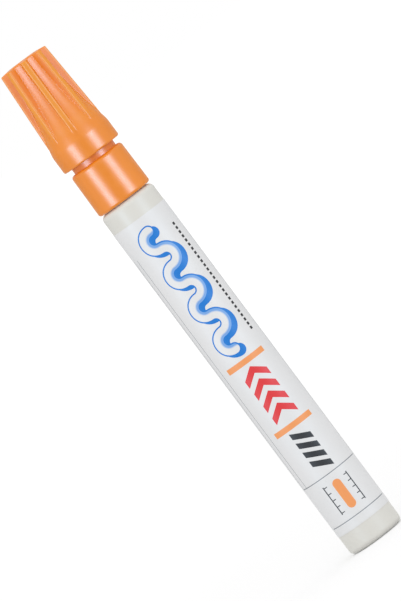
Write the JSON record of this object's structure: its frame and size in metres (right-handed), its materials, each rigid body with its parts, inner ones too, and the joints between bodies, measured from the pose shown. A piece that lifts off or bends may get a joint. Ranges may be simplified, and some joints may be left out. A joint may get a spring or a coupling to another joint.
{
  "type": "paint marker",
  "caption": "Valve-action paint marker with a ribbed pull-off cap, a round labelled barrel, a spring-loaded valve, a sliding bullet nib and a loose mixing ball.",
  "frame": {"origin": "centre of the barrel's base, on the plane it stands on", "axes": "+Z along the marker's axis, from the base to the cap; -Y is the label's front"},
  "size_m": [0.0156, 0.0156, 0.138],
  "materials": {
    "barrel_lacquer": "ivory lacquer, satin gloss",
    "label_film": "printed film, satin",
    "orange_plastic": "moulded, satin gloss",
    "liner_plastic": "moulded, soft sheen",
    "natural_plastic": "moulded, unpigmented",
    "nib_fibre": "bonded fibre, paint-soaked",
    "stem_plastic": "moulded",
    "seal_rubber": "matte",
    "steel": "bright"
  },
  "bodies": {
    "barrel": {"barrel": "barrel_lacquer", "label_wrap": "label_film", "collar": "orange_plastic", "tip_section": "natural_plastic", "barrel_gasket": "seal_rubber", "valve_case": "natural_plastic", "valve_seat_ring": "seal_rubber", "spring_retainer": "natural_plastic", "valve_spring": "steel"},
    "cap": {"cap_shell": "orange_plastic", "inner_cap": "liner_plastic"},
    "nib": {"nib": "nib_fibre"},
    "valve": {"valve_stem": "stem_plastic"},
    "ball": {"mixing_ball": "steel"}
  },
  "joints": [
    {"name": "cap_pull", "type": "slide", "parent": "barrel", "child": "cap", "axis": [0, 0, 1], "range_m": [0, 0.035]},
    {"name": "nib_press", "type": "slide", "parent": "barrel", "child": "nib", "axis": [0, 0, -1], "range_m": [0, 0.0012], "stiffness_N_per_m": 600, "springref_m": -0.002},
    {"name": "valve_open", "type": "slide", "parent": "barrel", "child": "valve", "axis": [0, 0, -1], "range_m": [0, 0.0012], "deforming": ["valve_spring"]},
    {"name": "ball_rattle", "type": "slide", "parent": "barrel", "child": "ball", "axis": [0, 0, 1], "range_m": [0, 0.084]}
  ],
  "couplings": [
    {"joint": "valve_open", "follows": "nib_press", "ratio": 1}
  ]
}
